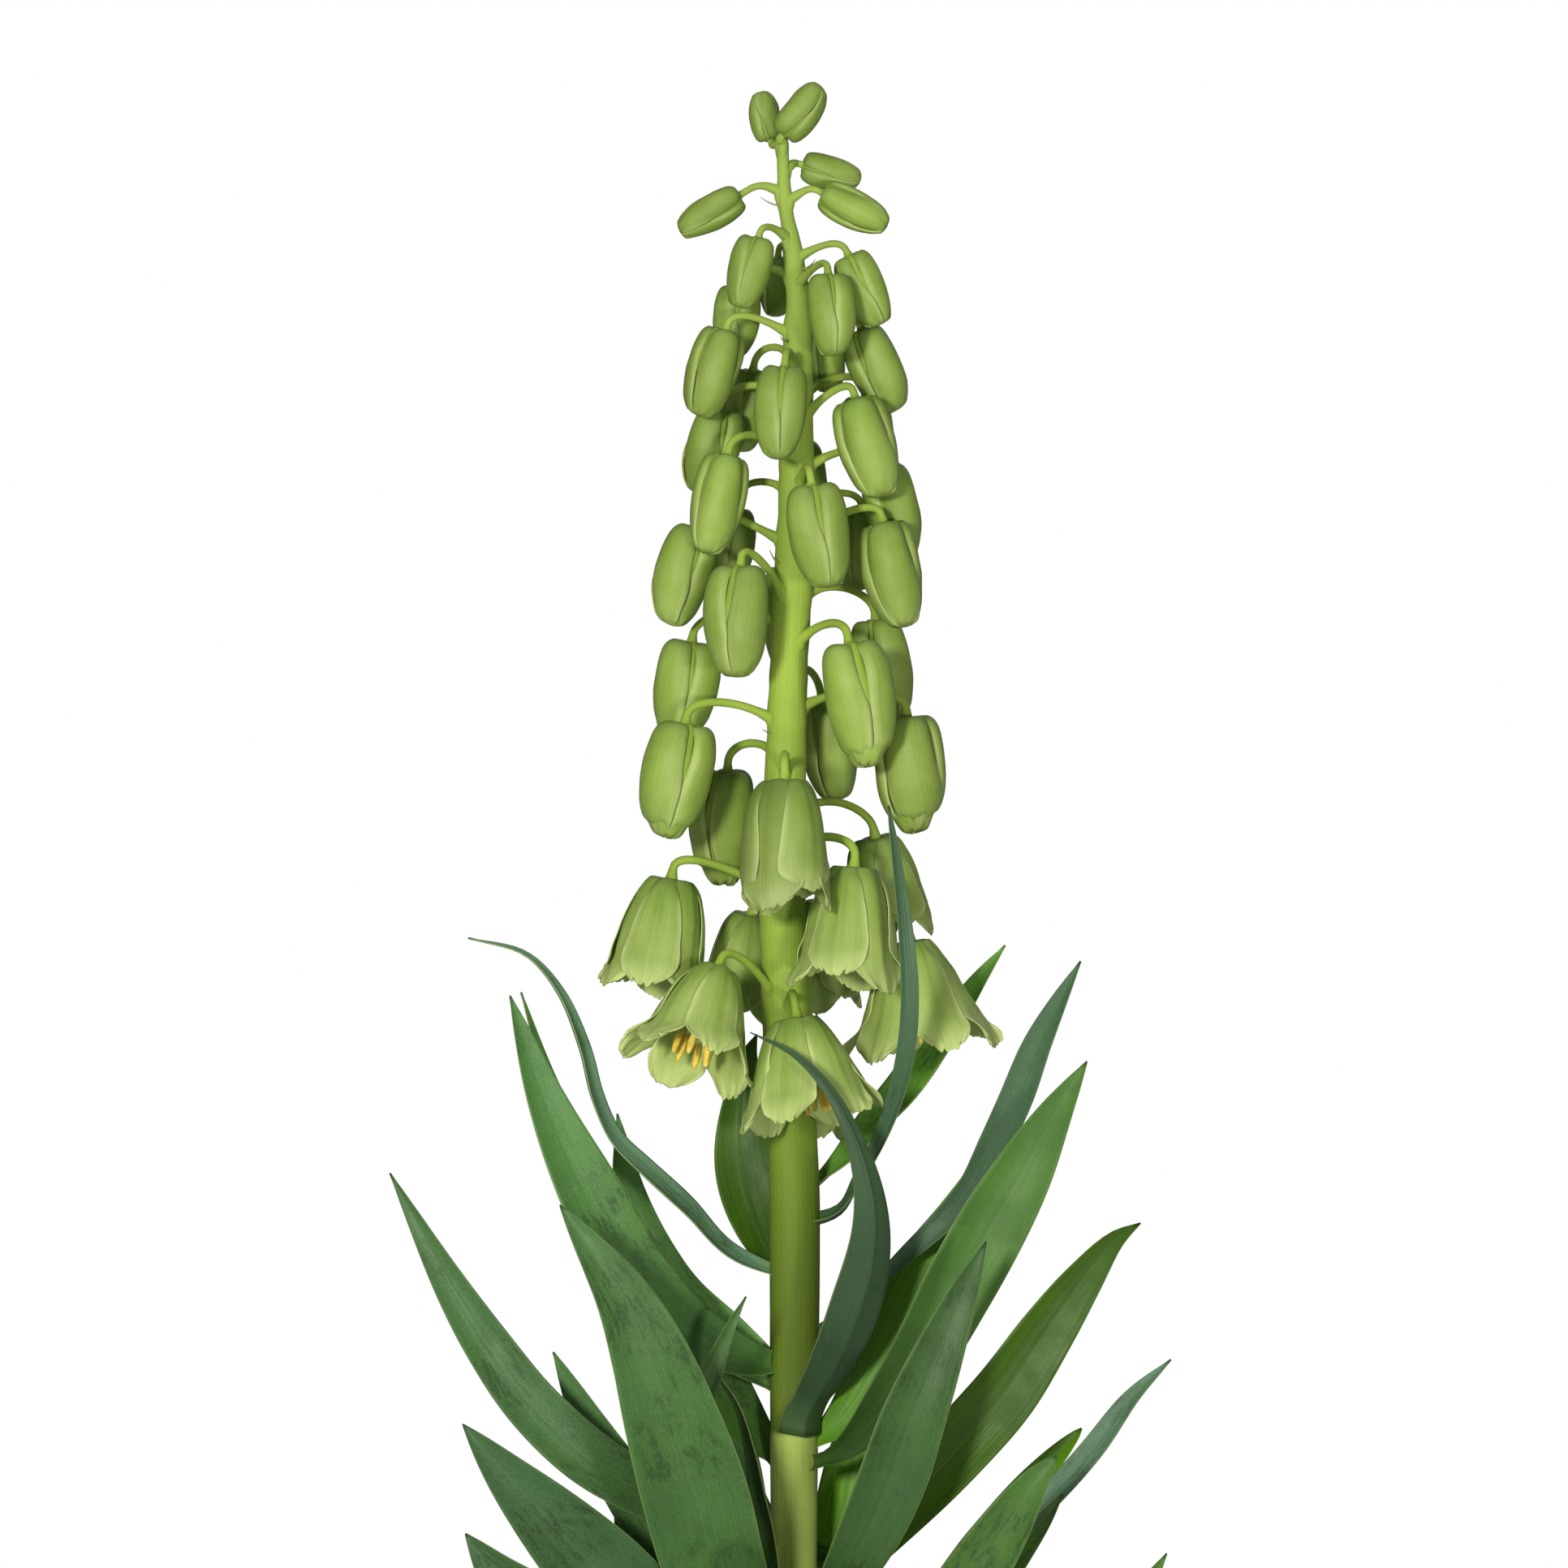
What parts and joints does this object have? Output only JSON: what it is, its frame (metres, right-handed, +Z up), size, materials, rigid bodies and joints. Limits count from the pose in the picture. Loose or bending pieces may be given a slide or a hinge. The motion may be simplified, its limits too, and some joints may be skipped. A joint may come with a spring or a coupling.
{
  "type": "potted persian lily",
  "caption": "Persian lily in a clay pot: a tall upright spike of nodding ivory-green bells, in bud towards the top, above long twisting grey-green leaves.",
  "frame": {"origin": "middle of the pot's flat underside, on the surface the pot stands on", "axes": "+Z up along the stem, -Y to the front as pictured, +X to the viewer's right"},
  "size_m": [0.1486, 0.1323, 0.4762],
  "materials": {
    "stem_and_leaf": "satin",
    "bud_green": "satin",
    "bell_ivory": "satin",
    "pollen": "matte",
    "bulb_scale": "matte",
    "terracotta": "matte",
    "potting_soil": "matte"
  },
  "bodies": {
    "root": {"bell_01": "bell_ivory", "bell_02": "bell_ivory", "bell_03": "bell_ivory", "bell_04": "bell_ivory", "bell_05": "bell_ivory", "bell_06": "bell_ivory", "bell_07": "bell_ivory", "bell_08": "bell_ivory", "bell_09": "bell_ivory", "bell_11": "bell_ivory", "bud_10": "bud_green", "bud_12": "bud_green", "bud_13": "bud_green", "bud_14": "bud_green", "bud_15": "bud_green", "bud_16": "bud_green", "bud_17": "bud_green", "bud_18": "bud_green", "bud_19": "bud_green", "bud_20": "bud_green", "bud_21": "bud_green", "bud_22": "bud_green", "bud_23": "bud_green", "bud_24": "bud_green", "bud_25": "bud_green", "bud_26": "bud_green", "bud_27": "bud_green", "bud_28": "bud_green", "bud_29": "bud_green", "bud_30": "bud_green", "bud_31": "bud_green", "bud_32": "bud_green", "bud_33": "bud_green", "bud_34": "bud_green", "bud_35": "bud_green", "bud_36": "bud_green", "bud_37": "bud_green", "bud_38": "bud_green", "bud_39": "bud_green", "bud_40": "bud_green", "bud_41": "bud_green", "bud_42": "bud_green", "bud_43": "bud_green", "bud_44": "bud_green", "bud_45": "bud_green", "bud_46": "bud_green", "bulb": "bulb_scale", "leafy_stem": "stem_and_leaf", "pot": "terracotta", "soil": "potting_soil", "stamens_01": "pollen", "stamens_03": "pollen", "stamens_04": "pollen", "stamens_08": "pollen"}
  },
  "joints": []
}
